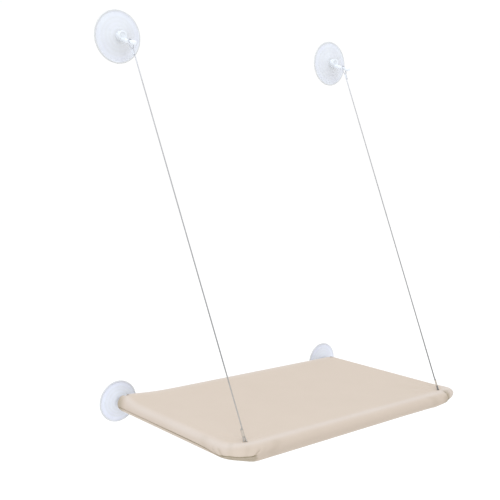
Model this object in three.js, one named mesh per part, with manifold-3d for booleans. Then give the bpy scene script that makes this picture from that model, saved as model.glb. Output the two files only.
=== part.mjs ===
// A window perch for a cat: a fabric-covered tube frame that hangs on suction cups.
//
// Millimetres, +Z up. X runs along the window, the glass is the plane Y = 0 and the room is at -Y.
// The origin lies on the glass, midway between the axes of the two lower suction cups.

import * as THREE from "three";
import { mergeVertices } from "three/addons/utils/BufferGeometryUtils.js";
import Module from "manifold-3d";

// Driving dimensions of the whole perch
const cupSpacing = 533; // between the cup axes, along the window
const upperCupHeight = 664; // of the upper cup axes above the lower ones
const perchStandoff = 30; // from the glass to the rear tube's axis
const perchDepth = 323; // from the rear tube's axis to the front tube's axis
const fitGap = 0.3; // between two pieces that touch
const cutOverrun = 5; // of every cut past the face that it opens

// The tube frame
const tubeDiameter = 22;
const tubeWall = 1.5;
const bendRadius = 40; // of the front corners, at the tube axis
const cornerCollar = 6; // straight stretch of a front corner before its tube starts
const rearArmLength = 20; // of a rear corner, from the crossing of the two axes
const spigotLength = 26; // of each corner piece inside a tube

// The ball joint between a lower cup and a rear corner
const ballDiameter = 12;
const ballNeckDiameter = 6.4;
const neckSlotGap = 0.6; // on each side of the neck in its slot

// Suction cups
const lowerCupDiameter = 78;
const upperCupDiameter = 94;
const cupRimThickness = 1.4;
const cupShoulderHeight = 9; // from the glass to the end of the cup's own body
const cupShoulderRadius = 9.5;
const cupDishDepth = 1.6;
const knobNeckWidth = 8; // across the square neck that the hook sits on
const knobNeckLength = 5;
const knobHeadRadius = 6.2;
const knobHeadThickness = 2.6;

// The clear hook on an upper cup
const hookCapDiameter = 18;
const hookCapFace = 3; // material in front of the knob's head
const hookCapBevel = 1;
const hookFaceDish = 1;
const hookFaceDishRadius = 5.6;
const pegReach = 61; // from the glass to the peg's tip
const pegDrop = 17.3; // of the peg's tip below the cup's axis
const pegRootDrop = 7.2; // of the peg's axis below the cup's axis, where it leaves the cap
const pegRootRadius = 3.8;
const pegWaistRadius = 2.8;
const pegHeadRadius = 4.3;
const pegHeadLength = 13;
const pegWaistLength = 9;

// The cables and what holds them
const cableDiameter = 2;
const strandSpacing = 2.3; // between the two strands inside a crimp sleeve
const sleeveLength = 14;
const sleeveWall = 0.7;
const lowerSleeveHeight = 23; // from the anchor pin's axis to the lower sleeve
const upperSleeveDrop = 15; // from the peg's axis to the upper sleeve
const anchorPinDiameter = 4;
const anchorPinLength = 16;
const anchorPocketLength = 12; // along the frame, room for both strands
const anchorPocketWidth = 4.4;
const anchorPocketDepth = 6; // below the pin's axis

// The fabric cover
const fabricThickness = 1.6;
const coverLooseness = 0.9; // between the tubes and the fabric
const rearFoldRadius = 1.5; // of the cover's rear corners, at the tube axis
const sharpestFold = 1; // radius of the tightest corner that the fabric takes
const topSag = 5;
const bottomSag = 3;
const earRadius = 30; // of the square-sewn front corners
const slitLength = 12;
const slitWidth = 5.4;
const notchWidth = 9; // of the openings for the necks of the lower cups

// The closure under the rear edge
const closureSetback = 12; // from the rear tube's axis to the hem of the bottom panel
const closureOpening = 4; // between that hem and the turned-in flap
const flapLength = 26;
const closureEndMargin = 34; // from each cup axis to the end of the closure
const tapeWidth = 16;
const tapeThickness = 1;

// Fineness of the round forms
const roundSides = 24;
const cupSides = 40;
const cableSides = 8;
const cableStepsPerSpan = 2;
const bendSteps = 10;

const UP = new THREE.Vector3(0, 0, 1);
const ACROSS = new THREE.Vector3(1, 0, 0);
const INTO_GLASS = new THREE.Vector3(0, 1, 0);

const tubeRadius = tubeDiameter / 2;
const cableRadius = cableDiameter / 2;
const sideTubeX = cupSpacing / 2;
const rearY = -perchStandoff;
const frontY = rearY - perchDepth;
const rollRadius = tubeRadius + coverLooseness + fabricThickness;

const wasm = await Module();
wasm.setup();

// A closed mesh as a solid that can be joined and cut
function solid(geometry) {
  const bare = geometry.clone();
  bare.deleteAttribute("normal");
  bare.deleteAttribute("uv");
  const merged = mergeVertices(bare, 1e-4);
  return new wasm.Manifold(
    new wasm.Mesh({
      numProp: 3,
      vertProperties: new Float32Array(merged.attributes.position.array),
      triVerts: new Uint32Array(merged.index.array),
    }),
  );
}

function geometryOf(made) {
  const mesh = made.getMesh();
  const positions = new Float32Array(mesh.numVert * 3);
  for (let vertex = 0; vertex < mesh.numVert; vertex += 1) {
    const start = vertex * mesh.numProp;
    positions.set(mesh.vertProperties.subarray(start, start + 3), vertex * 3);
  }
  const geometry = new THREE.BufferGeometry();
  geometry.setAttribute("position", new THREE.BufferAttribute(positions, 3));
  geometry.setIndex(new THREE.BufferAttribute(mesh.triVerts, 1));
  const flat = geometry.toNonIndexed();
  flat.computeVertexNormals();
  return flat;
}

// Unions and differences of three.js geometries
function join(...geometries) {
  const solids = geometries.map(solid);
  return geometryOf(solids.reduce((all, next) => all.add(next)));
}

function cut(geometry, ...cutters) {
  const solids = cutters.map(solid);
  return geometryOf(solids.reduce((left, next) => left.subtract(next), solid(geometry)));
}

// A frame of three directions at a place
function placement(origin, xAxis, yAxis, zAxis) {
  return new THREE.Matrix4().makeBasis(xAxis, yAxis, zAxis).setPosition(origin);
}

function rod(from, to, radius, sides = roundSides) {
  const along = to.clone().sub(from);
  const geometry = new THREE.CylinderGeometry(radius, radius, along.length(), sides);
  const turn = new THREE.Quaternion().setFromUnitVectors(INTO_GLASS, along.clone().normalize());
  geometry.applyQuaternion(turn);
  const middle = from.clone().add(to).multiplyScalar(0.5);
  return geometry.translate(middle.x, middle.y, middle.z);
}

function box(low, high) {
  const size = high.clone().sub(low);
  const middle = low.clone().add(high).multiplyScalar(0.5);
  return new THREE.BoxGeometry(size.x, size.y, size.z).translate(middle.x, middle.y, middle.z);
}

function circle(radius, sides = roundSides) {
  const shape = new THREE.Shape();
  for (let side = 0; side < sides; side += 1) {
    const angle = (2 * Math.PI * side) / sides;
    const point = new THREE.Vector2(radius * Math.cos(angle), radius * Math.sin(angle));
    if (side === 0) shape.moveTo(point.x, point.y);
    else shape.lineTo(point.x, point.y);
  }
  shape.closePath();
  return shape;
}

// A path through points that spends the same number of steps on every span
class SteppedPath extends THREE.CatmullRomCurve3 {
  getUtoTmapping(share) {
    return share;
  }
}

// A quarter turn about the vertical between two straight stretches
class CornerPath extends THREE.Curve {
  constructor(centre, from, to, radius) {
    super();
    Object.assign(this, { centre, from, to, radius });
  }

  getPoint(share) {
    const angle = (share * Math.PI) / 2;
    return this.centre
      .clone()
      .addScaledVector(this.from, this.radius * Math.cos(angle))
      .addScaledVector(this.to, this.radius * Math.sin(angle));
  }
}

function sweep(shape, path, steps) {
  return new THREE.ExtrudeGeometry(shape, { extrudePath: path, steps, bevelEnabled: false });
}

// The suction cups

// The outside of a cup from its rim to its shoulder, as shares of the way in and of the height
const cupFlankShares = [
  [0, 0],
  [0.14, 0.08],
  [0.34, 0.22],
  [0.54, 0.42],
  [0.76, 0.72],
  [0.92, 0.93],
];
const cupLipShare = 0.72;
const cupDishFloorShare = 0.5;

function cupBody(diameter) {
  const radius = diameter / 2;
  const points = [
    new THREE.Vector2(0, -cupDishDepth),
    new THREE.Vector2(radius * cupDishFloorShare, -cupDishDepth),
    new THREE.Vector2(radius * cupLipShare, 0),
    new THREE.Vector2(radius, 0),
  ];
  for (const [inShare, heightShare] of cupFlankShares) {
    const flankRadius = THREE.MathUtils.lerp(radius, cupShoulderRadius, inShare);
    const height = THREE.MathUtils.lerp(cupRimThickness, cupShoulderHeight, heightShare);
    points.push(new THREE.Vector2(flankRadius, -height));
  }
  points.push(new THREE.Vector2(cupShoulderRadius, -cupShoulderHeight));
  points.push(new THREE.Vector2(0, -cupShoulderHeight));
  return new THREE.LatheGeometry(points.reverse(), cupSides);
}

// The neck of a lower cup ends in the ball that the perch turns on
function lowerCup() {
  const ball = new THREE.SphereGeometry(ballDiameter / 2, roundSides, roundSides / 2);
  ball.translate(0, rearY, 0);
  const neckStart = new THREE.Vector3(0, -cupShoulderHeight + cupRimThickness, 0);
  const neckEnd = new THREE.Vector3(0, rearY, 0);
  return join(cupBody(lowerCupDiameter), rod(neckStart, neckEnd, ballNeckDiameter / 2), ball);
}

// The knob of an upper cup, a square neck and a round head, larger by a gap where it is a cutter
const knobNeckStart = -cupShoulderHeight;
const knobHeadStart = knobNeckStart - knobNeckLength;
const knobEnd = knobHeadStart - knobHeadThickness;

function knob(gap) {
  const half = knobNeckWidth / 2 + gap;
  const low = new THREE.Vector3(-half, knobHeadStart - gap, -half);
  const high = new THREE.Vector3(half, knobNeckStart + cupRimThickness, half);
  const headLow = new THREE.Vector3(0, knobEnd - gap, 0);
  const headHigh = new THREE.Vector3(0, knobHeadStart + gap, 0);
  return join(box(low, high), rod(headLow, headHigh, knobHeadRadius + gap));
}

function upperCup() {
  return join(cupBody(upperCupDiameter), knob(0));
}

// The clear hook: a cap on the knob and a drooping peg with a waist for the cable's loop
const capBack = -cupShoulderHeight - fitGap;
const capFront = knobEnd - fitGap - hookCapFace;
const pegRoot = new THREE.Vector3(0, capFront, -pegRootDrop);
const pegTip = new THREE.Vector3(0, -pegReach, -pegDrop);
const pegDirection = pegTip.clone().sub(pegRoot).normalize();
const pegLength = pegTip.distanceTo(pegRoot);
const waistMiddle = pegLength - pegHeadLength - pegWaistLength / 2;
const loopPoint = pegRoot.clone().addScaledVector(pegDirection, waistMiddle);

function hook() {
  const capRadius = hookCapDiameter / 2;
  const cap = new THREE.LatheGeometry(
    [
      new THREE.Vector2(0, capFront + hookFaceDish),
      new THREE.Vector2(hookFaceDishRadius - hookFaceDish, capFront + hookFaceDish),
      new THREE.Vector2(hookFaceDishRadius, capFront),
      new THREE.Vector2(capRadius - hookCapBevel, capFront),
      new THREE.Vector2(capRadius, capFront + hookCapBevel),
      new THREE.Vector2(capRadius, capBack),
      new THREE.Vector2(0, capBack),
    ],
    cupSides,
  );
  const headStart = pegLength - pegHeadLength;
  const waistStart = headStart - pegWaistLength;
  const headEdge = pegHeadRadius - pegWaistRadius;
  const rootInCap = -hookCapFace;
  const profile = [
    new THREE.Vector2(0, rootInCap),
    new THREE.Vector2(pegRootRadius, rootInCap),
    new THREE.Vector2(pegRootRadius, waistStart / 2),
    new THREE.Vector2(pegWaistRadius, waistStart),
    new THREE.Vector2(pegWaistRadius, headStart - headEdge / 2),
    new THREE.Vector2(pegHeadRadius, headStart + headEdge / 2),
    new THREE.Vector2(pegHeadRadius, pegLength - headEdge),
    new THREE.Vector2(pegWaistRadius, pegLength),
    new THREE.Vector2(0, pegLength),
  ];
  const peg = new THREE.LatheGeometry(profile, roundSides);
  peg.applyQuaternion(new THREE.Quaternion().setFromUnitVectors(INTO_GLASS, pegDirection));
  peg.translate(pegRoot.x, pegRoot.y, pegRoot.z);
  return cut(join(cap, peg), knob(fitGap));
}

// The tube frame

const spigotRadius = tubeRadius - tubeWall - fitGap;
const sideTubeStart = rearY - rearArmLength;
const sideTubeEnd = frontY + bendRadius + cornerCollar;
const frontTubeHalf = sideTubeX - bendRadius - cornerCollar;
const rearTubeHalf = sideTubeX - rearArmLength;

// A tube centred on the origin, along X
function crossTube(halfLength) {
  const section = circle(tubeRadius);
  section.holes.push(circle(tubeRadius - tubeWall));
  const length = 2 * (halfLength - fitGap);
  const geometry = new THREE.ExtrudeGeometry(section, { depth: length, bevelEnabled: false });
  return geometry.translate(0, 0, -length / 2).rotateY(Math.PI / 2);
}

function sideTube() {
  return crossTube((sideTubeStart - sideTubeEnd) / 2).rotateZ(Math.PI / 2);
}

// The lower end of a cable, in directions along the cable, beside it and through both strands.
// The side is -1 for the left corner and 1 for the right one.
// The anchor lies on the front corner's bend, at a share of its quarter turn towards the front tube.
const anchorBendShare = 0.75;
const anchorAngle = (anchorBendShare * Math.PI) / 2;

function anchorPoint(side) {
  return new THREE.Vector3(
    side * (sideTubeX - bendRadius + bendRadius * Math.cos(anchorAngle)),
    frontY + bendRadius - bendRadius * Math.sin(anchorAngle),
    0,
  );
}

function hookLoopPoint(side) {
  return new THREE.Vector3(side * sideTubeX, loopPoint.y, upperCupHeight + loopPoint.z);
}

function cableDirection(side) {
  return hookLoopPoint(side).sub(anchorPoint(side)).normalize();
}

function squareTo(direction, along) {
  return direction.clone().addScaledVector(along, -direction.dot(along)).normalize();
}

function anchorFrame(side) {
  const along = cableDirection(side);
  const bendTangent = new THREE.Vector3(-side * Math.sin(anchorAngle), -Math.cos(anchorAngle), 0);
  const beside = squareTo(bendTangent, along);
  const through = beside.clone().cross(along).multiplyScalar(-side);
  return { origin: anchorPoint(side), along, beside, through };
}

function hookFrame(side) {
  const along = cableDirection(side).negate();
  const beside = squareTo(new THREE.Vector3(-side, 0, 0), along);
  return { origin: hookLoopPoint(side), along, beside };
}

function inFrame(frame, beside, along, through = 0) {
  const point = frame.origin.clone();
  point.addScaledVector(frame.beside, beside).addScaledVector(frame.along, along);
  return through === 0 ? point : point.addScaledVector(frame.through, through);
}

// A box in an anchor's frame, for the pocket in the frame's corner and the slit in the cover
function anchorBox(side, length, width, low, high) {
  const frame = anchorFrame(side);
  const geometry = box(
    new THREE.Vector3(-length / 2, -width / 2, low),
    new THREE.Vector3(length / 2, width / 2, high),
  );
  const across = frame.along.clone().cross(frame.beside);
  return geometry.applyMatrix4(placement(frame.origin, frame.beside, across, frame.along));
}

function frontCorner(side) {
  const centre = new THREE.Vector3(side * (sideTubeX - bendRadius), frontY + bendRadius, 0);
  const outward = new THREE.Vector3(side, 0, 0);
  const forward = new THREE.Vector3(0, -1, 0);
  const bend = new CornerPath(centre, outward, forward, bendRadius);
  const sideCollarEnd = bend.getPoint(0).addScaledVector(forward, -cornerCollar);
  const frontCollarEnd = bend.getPoint(1).addScaledVector(outward, -cornerCollar);
  const path = new THREE.CurvePath();
  path.add(new THREE.LineCurve3(sideCollarEnd, bend.getPoint(0)));
  path.add(bend);
  path.add(new THREE.LineCurve3(bend.getPoint(1), frontCollarEnd));
  const body = sweep(circle(tubeRadius), path, bendSteps);
  const spigots = [
    [bend.getPoint(0), forward.clone().negate()],
    [bend.getPoint(1), outward.clone().negate()],
  ].map(([start, direction]) => {
    const spigotEnd = start.clone().addScaledVector(direction, cornerCollar + spigotLength);
    return rod(start, spigotEnd, spigotRadius);
  });
  const frame = anchorFrame(side);
  const pinRadius = anchorPinDiameter / 2 + fitGap;
  const boreStart = inFrame(frame, 0, 0, -tubeRadius - cutOverrun);
  const boreEnd = inFrame(frame, 0, 0, anchorPinLength / 2 + fitGap);
  const pocketTop = tubeDiameter + cutOverrun;
  return cut(
    join(body, ...spigots),
    anchorBox(side, anchorPocketLength, anchorPocketWidth, -anchorPocketDepth, pocketTop),
    rod(boreStart, boreEnd, pinRadius),
  );
}

function anchorPin(side) {
  const frame = anchorFrame(side);
  const start = inFrame(frame, 0, 0, -anchorPinLength / 2);
  const end = inFrame(frame, 0, 0, anchorPinLength / 2);
  return rod(start, end, anchorPinDiameter / 2);
}

// A rear corner holds the ball of a lower cup. As the perch folds up, the neck moves in its slot
// from behind it to above it.
function rearCorner(side) {
  const centre = new THREE.Vector3(side * sideTubeX, rearY, 0);
  const arms = [new THREE.Vector3(0, -1, 0), new THREE.Vector3(-side, 0, 0)].flatMap((direction) => {
    const armEnd = centre.clone().addScaledVector(direction, rearArmLength);
    const spigotEnd = armEnd.clone().addScaledVector(direction, spigotLength);
    return [rod(centre, armEnd, tubeRadius), rod(centre, spigotEnd, spigotRadius)];
  });
  const round = new THREE.SphereGeometry(tubeRadius, roundSides, roundSides / 2);
  round.rotateX(Math.PI / 2).translate(centre.x, centre.y, centre.z);
  const socket = new THREE.SphereGeometry(ballDiameter / 2 + fitGap, roundSides, roundSides / 2);
  socket.translate(centre.x, centre.y, centre.z);
  const slotHalf = ballNeckDiameter / 2 + neckSlotGap;
  const reach = tubeRadius + cutOverrun;
  const slot = box(
    new THREE.Vector3(centre.x - slotHalf, rearY - slotHalf, -slotHalf),
    new THREE.Vector3(centre.x + slotHalf, rearY + reach, reach),
  );
  return cut(join(round, ...arms), socket, slot);
}

// The cables

// The loop at the anchor pin, as places beside and along the cable, in millimetres.
// It starts at the cable's tail in the lower sleeve and ends where the straight run starts.
const anchorLoopPoints = [
  [-1.15, 36],
  [-1.15, 30],
  [-1.15, 23.5],
  [-1.9, 17],
  [-3, 8],
  [-3.35, 2],
  [-2.9, -1.7],
  [-1.6, -2.95],
  [0, -3.35],
  [1.6, -2.95],
  [2.9, -1.7],
  [3.35, 2],
  [3, 8],
  [1.9, 17],
  [1.15, 23.5],
  [1.15, 30],
  [1.15, 37],
  [1.15, 80],
];

// The loop over the hook's waist, from the end of the straight run to the tail in the upper sleeve
const hookLoopPoints = [
  [1.15, 80],
  [1.15, 29.5],
  [1.15, 22],
  [1.15, 14.8],
  [2.7, 11.2],
  [4.2, 7],
  [4.3, 0.5],
  [3.5, -3.3],
  [1.9, -4.9],
  [0, -5.3],
  [-1.9, -4.9],
  [-3.5, -3.3],
  [-4.3, 0.5],
  [-4.2, 7],
  [-2.7, 11.2],
  [-1.15, 14.8],
  [-1.15, 22],
  [-1.15, 28],
];

function cable(side) {
  const lower = anchorFrame(side);
  const upper = hookFrame(side);
  const points = anchorLoopPoints.map(([beside, along]) => inFrame(lower, beside, along));
  points.push(...hookLoopPoints.map(([beside, along]) => inFrame(upper, beside, along)));
  const path = new SteppedPath(points, false, "centripetal");
  const steps = cableStepsPerSpan * (points.length - 1);
  return sweep(circle(cableRadius, cableSides), path, steps);
}

// A flat-sided oval for the crimp sleeves
function oval(halfSpacing, radius) {
  const shape = new THREE.Shape();
  shape.absarc(halfSpacing, 0, radius, -Math.PI / 2, Math.PI / 2);
  shape.absarc(-halfSpacing, 0, radius, Math.PI / 2, (3 * Math.PI) / 2);
  shape.closePath();
  return shape;
}

function crimpSleeve(frame, start) {
  const bore = cableRadius + fitGap;
  const section = oval(strandSpacing / 2, bore + sleeveWall);
  section.holes.push(oval(strandSpacing / 2, bore));
  const settings = { depth: sleeveLength, bevelEnabled: false, curveSegments: cableSides };
  const geometry = new THREE.ExtrudeGeometry(section, settings).translate(0, 0, start);
  const across = frame.along.clone().cross(frame.beside);
  return geometry.applyMatrix4(placement(frame.origin, frame.beside, across, frame.along));
}

// The fabric cover

// The tube axes seen from above, moved outward by a distance, with its corners rounded.
// The points run from the right end of the rear edge to the left, the front and back again.
const edgeShares = [0.25, 0.5, 0.75];
const cornerSteps = 5;

function perchOutline(outward, frontRadius) {
  const halfWidth = sideTubeX + outward;
  const back = rearY + outward;
  const front = frontY - outward;
  const rearRadius = Math.max(rearFoldRadius + outward, sharpestFold);
  const foldRadius = Math.max(frontRadius, sharpestFold);
  const corners = [
    [1, back - rearRadius, rearRadius, 0],
    [-1, back - rearRadius, rearRadius, 1],
    [-1, front + foldRadius, foldRadius, 2],
    [1, front + foldRadius, foldRadius, 3],
  ];
  const arcs = corners.map(([side, y, radius, quarter]) => {
    const arc = [];
    for (let step = 0; step <= cornerSteps; step += 1) {
      const angle = ((quarter + step / cornerSteps) * Math.PI) / 2;
      const x = side * (halfWidth - radius) + radius * Math.cos(angle);
      arc.push(new THREE.Vector2(x, y + radius * Math.sin(angle)));
    }
    return arc;
  });
  return arcs.flatMap((arc, index) => {
    const next = arcs[(index + 1) % arcs.length][0];
    const last = arc[arc.length - 1];
    const between = edgeShares.map((share) => new THREE.Vector2().lerpVectors(last, next, share));
    return [...arc, ...between];
  });
}

// The rings of the padded outline from the seam round the edge to the panel's middle.
// Each is an angle up the rolled edge and how far the square-sewn front corner reaches there.
const rollRings = [
  { angle: 0, ear: 1 },
  { angle: 12, ear: 0.8 },
  { angle: 36, ear: 0.15 },
  { angle: 63, ear: 0 },
  { angle: 90, ear: 0 },
];
const panelRingShares = [0.28, 0.7];

function cushionRings(inset, sag, withEars) {
  const radius = rollRadius - inset;
  const rings = rollRings.map(({ angle, ear }) => {
    const turn = THREE.MathUtils.degToRad(angle);
    const outward = radius * Math.cos(turn);
    const roundCorner = bendRadius + outward;
    const share = withEars ? ear : 0;
    const corner = THREE.MathUtils.lerp(roundCorner, earRadius, share);
    return { outline: perchOutline(outward, corner), height: radius * Math.sin(turn) };
  });
  for (const share of panelRingShares) {
    const inward = (share * perchDepth) / 2;
    const outline = perchOutline(-inward, bendRadius - inward);
    rings.push({ outline, height: radius + sag * Math.sin((share * Math.PI) / 2) });
  }
  return rings;
}

// A closed cushion shape: the same rings above and below the seam
function cushion(inset, withEars) {
  const upper = cushionRings(inset, -topSag, withEars);
  const lower = cushionRings(inset, bottomSag, withEars).slice(1);
  const rings = [
    ...lower.reverse().map(({ outline, height }) => ({ outline, height: -height })),
    ...upper,
  ];
  const count = rings[0].outline.length;
  const positions = rings.flatMap(({ outline, height }) =>
    outline.flatMap((point) => [point.x, point.y, height]),
  );
  const middleY = (rearY + frontY) / 2;
  positions.push(0, middleY, -rollRadius + inset - bottomSag);
  positions.push(0, middleY, rollRadius - inset - topSag);
  const bottomMiddle = rings.length * count;
  const topMiddle = bottomMiddle + 1;
  const topRing = (rings.length - 1) * count;
  const faces = [];
  for (let index = 0; index < count; index += 1) {
    const next = (index + 1) % count;
    for (let ring = 0; ring < rings.length - 1; ring += 1) {
      const below = ring * count;
      const above = below + count;
      faces.push(below + index, below + next, above + next);
      faces.push(below + index, above + next, above + index);
    }
    faces.push(bottomMiddle, next, index);
    faces.push(topMiddle, topRing + index, topRing + next);
  }
  const geometry = new THREE.BufferGeometry();
  geometry.setAttribute("position", new THREE.Float32BufferAttribute(positions, 3));
  geometry.setIndex(faces);
  return geometry;
}

// The closure: the top panel wraps the rear tube and ends in a flap inside the bottom panel
const closureHalf = sideTubeX - closureEndMargin;
const panelInside = -rollRadius + fabricThickness;
const hemY = rearY - closureSetback;
const flapTapeZ = panelInside + 2 * (tapeThickness + fitGap);
const flapUnderside = flapTapeZ + fitGap;
const tapeStart = hemY - fitGap;
const flapTurnShare = 0.4;

function closureFlap() {
  const turnY = hemY + closureOpening;
  const flapEnd = turnY - flapLength;
  const section = new THREE.Shape();
  const riseEnd = hemY + closureOpening * flapTurnShare;
  section.moveTo(turnY + fabricThickness, -rollRadius);
  section.lineTo(turnY, -rollRadius);
  section.lineTo(riseEnd, flapUnderside);
  section.lineTo(flapEnd, flapUnderside);
  section.lineTo(flapEnd, flapUnderside + fabricThickness);
  section.lineTo(riseEnd + fabricThickness, flapUnderside + fabricThickness);
  section.lineTo(turnY + fabricThickness, panelInside);
  section.closePath();
  return alongWindow(section, closureHalf);
}

// A section drawn in Y and Z, drawn out along X on both sides of the middle
function alongWindow(section, half) {
  const geometry = new THREE.ExtrudeGeometry(section, { depth: 2 * half, bevelEnabled: false });
  geometry.translate(0, 0, -half);
  const upright = placement(new THREE.Vector3(), INTO_GLASS, UP, ACROSS);
  return geometry.applyMatrix4(upright);
}

function closureTape(layer) {
  const low = panelInside + fitGap + layer * (tapeThickness + fitGap);
  return box(
    new THREE.Vector3(-closureHalf, tapeStart - tapeWidth, low),
    new THREE.Vector3(closureHalf, tapeStart, low + tapeThickness),
  );
}

function cover() {
  const reach = rollRadius + bottomSag + cutOverrun;
  const opening = box(
    new THREE.Vector3(-closureHalf, hemY, -reach),
    new THREE.Vector3(closureHalf, hemY + closureOpening, panelInside + cutOverrun),
  );
  const slits = [-1, 1].map((side) =>
    anchorBox(side, slitLength, slitWidth, tubeRadius / 2, tubeDiameter),
  );
  const neckHalf = ballNeckDiameter / 2 + neckSlotGap;
  const notchDrop = neckHalf + fabricThickness;
  const notches = [-1, 1].map((side) =>
    box(
      new THREE.Vector3(side * sideTubeX - notchWidth / 2, rearY - neckHalf, -notchDrop),
      new THREE.Vector3(side * sideTubeX + notchWidth / 2, rearY + reach, reach),
    ),
  );
  const shell = cut(cushion(0, true), cushion(fabricThickness, false), opening, ...slits, ...notches);
  return join(shell, closureFlap());
}

// Materials, with colours from the photograph
function material(colour, roughness, metalness = 0) {
  return new THREE.MeshStandardMaterial({ color: colour, roughness, metalness });
}

const makeCupPlastic = () => material("#e3ebf4", 0.2);
const makeHookPlastic = () => material("#eef4fa", 0.1);
const makeSteelCable = () => material("#8b8d90", 0.35, 0.9);
const makeAluminium = () => material("#9a9ca0", 0.4, 0.9);
const makePinSteel = () => material("#b4b6ba", 0.3, 1);
const makeTubeSteel = () => material("#e9e9e7", 0.45);
const makeCornerPlastic = () => material("#dfe0e0", 0.5);
const makeFabric = () => material("#ddd1c4", 0.75);
const makeTape = () => material("#d8cbbb", 0.9);

// The assembly: what stays on the glass, and the perch that folds up against it
const glassSide = new THREE.Group();
const perch = new THREE.Group();

function place(group, name, geometry, made, x = 0, y = 0, z = 0) {
  const mesh = new THREE.Mesh(geometry, made);
  mesh.name = name;
  mesh.position.set(x, y, z);
  group.add(mesh);
}

for (const [sideName, side] of [["left", -1], ["right", 1]]) {
  const x = side * sideTubeX;
  place(glassSide, `lower_cup_${sideName}`, lowerCup(), makeCupPlastic(), x);
  place(glassSide, `upper_cup_${sideName}`, upperCup(), makeCupPlastic(), x, 0, upperCupHeight);
  place(glassSide, `hook_${sideName}`, hook(), makeHookPlastic(), x, 0, upperCupHeight);
  place(glassSide, `cable_${sideName}`, cable(side), makeSteelCable());
  const upperSleeve = crimpSleeve(hookFrame(side), upperSleeveDrop);
  place(glassSide, `upper_sleeve_${sideName}`, upperSleeve, makeAluminium());

  const lowerSleeve = crimpSleeve(anchorFrame(side), lowerSleeveHeight);
  place(perch, `lower_sleeve_${sideName}`, lowerSleeve, makeAluminium());
  place(perch, `front_corner_${sideName}`, frontCorner(side), makeCornerPlastic());
  place(perch, `rear_corner_${sideName}`, rearCorner(side), makeCornerPlastic());
  place(perch, `anchor_pin_${sideName}`, anchorPin(side), makePinSteel());
  const tubeMiddle = (sideTubeStart + sideTubeEnd) / 2;
  place(perch, `${sideName}_tube`, sideTube(), makeTubeSteel(), x, tubeMiddle);
}

place(perch, "front_tube", crossTube(frontTubeHalf), makeTubeSteel(), 0, frontY);
place(perch, "rear_tube", crossTube(rearTubeHalf), makeTubeSteel(), 0, rearY);
place(perch, "cover", cover(), makeFabric());
place(perch, "closure_hook_tape", closureTape(0), makeTape());
place(perch, "closure_loop_tape", closureTape(1), makeTape());

const windowPerch = new THREE.Group();
windowPerch.add(glassSide, perch);
export default windowPerch;
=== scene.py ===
# The looks of a cat's window perch: a fabric-covered frame that hangs on suction cups.
#
# Metres, +Z up. X runs along the window, the glass is the plane Y = 0 and the room is at -Y.
# The origin lies on the glass, midway between the axes of the two lower suction cups.

import math

import bmesh
import bpy
from mathutils import Matrix, Vector
from mathutils.bvhtree import BVHTree


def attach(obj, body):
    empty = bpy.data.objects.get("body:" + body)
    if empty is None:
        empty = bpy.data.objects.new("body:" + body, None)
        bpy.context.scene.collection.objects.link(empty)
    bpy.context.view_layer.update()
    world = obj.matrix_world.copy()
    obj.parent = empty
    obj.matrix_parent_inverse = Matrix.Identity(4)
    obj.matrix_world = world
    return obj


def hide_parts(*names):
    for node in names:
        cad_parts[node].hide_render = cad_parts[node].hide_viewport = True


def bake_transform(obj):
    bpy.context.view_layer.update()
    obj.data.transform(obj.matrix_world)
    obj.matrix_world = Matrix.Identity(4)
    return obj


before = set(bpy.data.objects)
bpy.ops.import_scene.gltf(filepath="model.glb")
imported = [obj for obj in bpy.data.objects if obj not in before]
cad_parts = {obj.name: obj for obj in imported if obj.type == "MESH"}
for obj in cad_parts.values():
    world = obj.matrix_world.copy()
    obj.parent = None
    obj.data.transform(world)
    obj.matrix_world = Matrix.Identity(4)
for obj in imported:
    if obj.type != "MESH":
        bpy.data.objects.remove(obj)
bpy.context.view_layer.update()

MM = 0.001
SIDES = (("left", -1), ("right", 1))

# The solid model's own sizes that the pieces here have to meet
SIDE_TUBE_X = 0.2665
UPPER_CUP_Z = 0.664
REAR_Y = -0.030
FRONT_Y = -0.353
BEND_RADIUS = 0.040
ROLL_RADIUS = 0.0135
SHOULDER_Y = -0.009
SHOULDER_RADIUS = 0.0095
RIM_THICKNESS = 0.0014
LOWER_CUP_RADIUS = 0.039
UPPER_CUP_RADIUS = 0.047

# Camera and light: the camera's place, its yaw, pitch and roll in degrees, and its lens in
# millimetres on a sensor 36 mm wide
CAMERA_PLACE = (-1.0221, -1.2804, 0.446)
CAMERA_ANGLES = (39.90, 6.19, 0.93)
CAMERA_LENS = 58.18
LAMP_PLACE = (-1.91, -1.39, 4.3)
LAMP_TARGET = (0, -0.2, 0.1)
LAMP_SIZE = 2.3
LAMP_POWER = 101
LAMP_COLOUR = (0.82, 0.90, 1.0)
FLOOR_Z = -0.9
FLOOR_SIZE = 30


def add_object(name, data):
    thing = bpy.data.objects.new(name, data)
    bpy.context.scene.collection.objects.link(thing)
    return thing


def make_camera():
    """Looks at the perch from the room, a little above it, as the photograph does."""
    yaw, pitch, roll = (math.radians(angle) for angle in CAMERA_ANGLES)
    data = bpy.data.cameras.new("camera")
    data.sensor_width = 36
    data.lens = CAMERA_LENS
    camera = add_object("camera", data)
    aimed = Matrix.Rotation(-yaw, 4, "Z") @ Matrix.Rotation(math.pi / 2 - pitch, 4, "X")
    rolled = aimed @ Matrix.Rotation(roll, 4, "Z")
    camera.matrix_world = Matrix.Translation(CAMERA_PLACE) @ rolled
    bpy.context.scene.camera = camera


def make_lamp():
    """A wide soft lamp above the room, on the left."""
    data = bpy.data.lights.new("room_lamp", "AREA")
    data.shape = "DISK"
    data.size = LAMP_SIZE
    data.energy = LAMP_POWER
    data.color = LAMP_COLOUR
    lamp = add_object("room_lamp", data)
    lamp.location = LAMP_PLACE
    aim = Vector(LAMP_TARGET) - Vector(LAMP_PLACE)
    lamp.rotation_euler = aim.to_track_quat("-Z", "Y").to_euler()


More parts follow.
